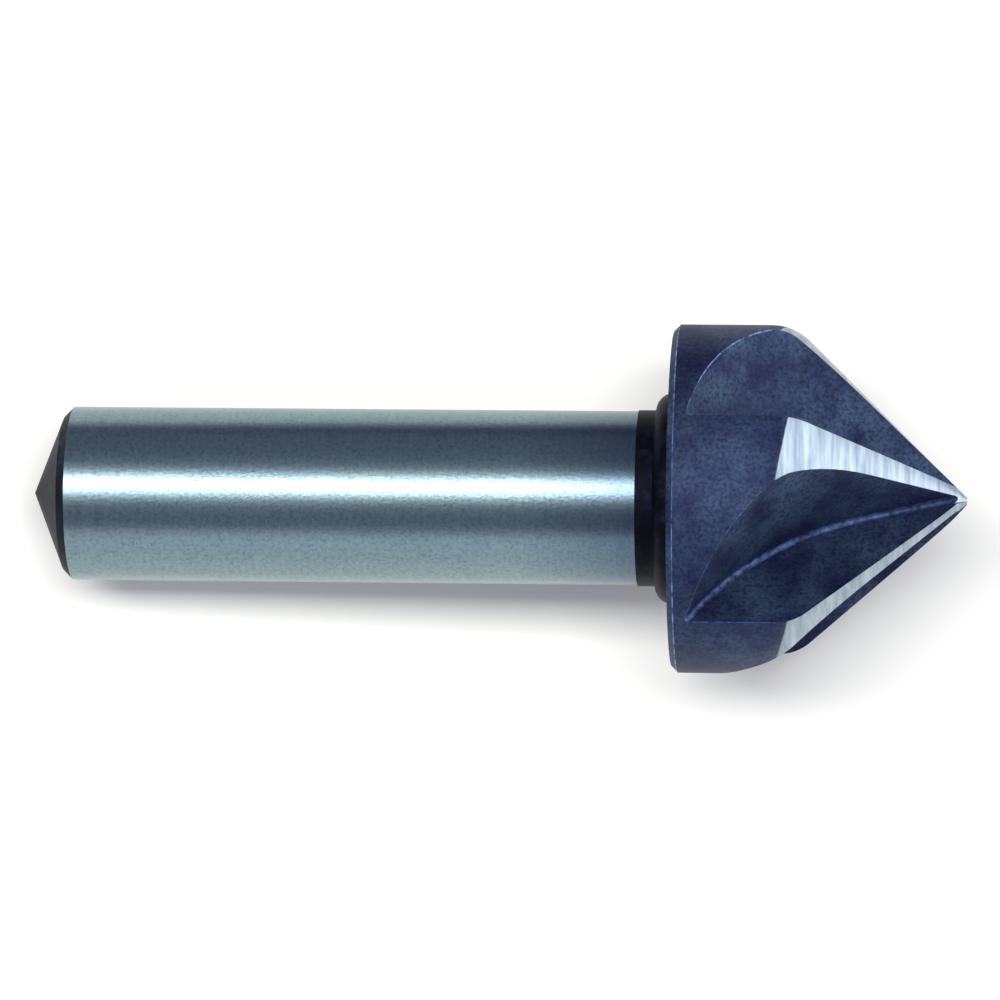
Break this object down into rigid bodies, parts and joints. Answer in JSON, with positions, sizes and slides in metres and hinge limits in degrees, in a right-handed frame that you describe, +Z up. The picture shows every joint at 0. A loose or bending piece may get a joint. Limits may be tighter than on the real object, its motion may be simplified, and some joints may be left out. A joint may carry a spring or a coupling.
{
  "type": "countersink bit",
  "caption": "Fluted ninety degree countersink bit with a plain round shank and a conical cutting head, made in one piece of tool steel.",
  "frame": {"origin": "bottom centre of the box around the bit as it lies at rest on a flat surface", "axes": "+X along the length of the bit towards the point, which is tipped up by about 8 degrees; +Z up; +Y across the bit"},
  "size_m": [0.0426, 0.016, 0.0164],
  "materials": {
    "tool_steel": "turned and milled tool steel with a dark oxide on the head and neck, and a bright ground shank and lands"
  },
  "bodies": {
    "root": {"countersink_bit": "tool_steel"}
  },
  "joints": []
}
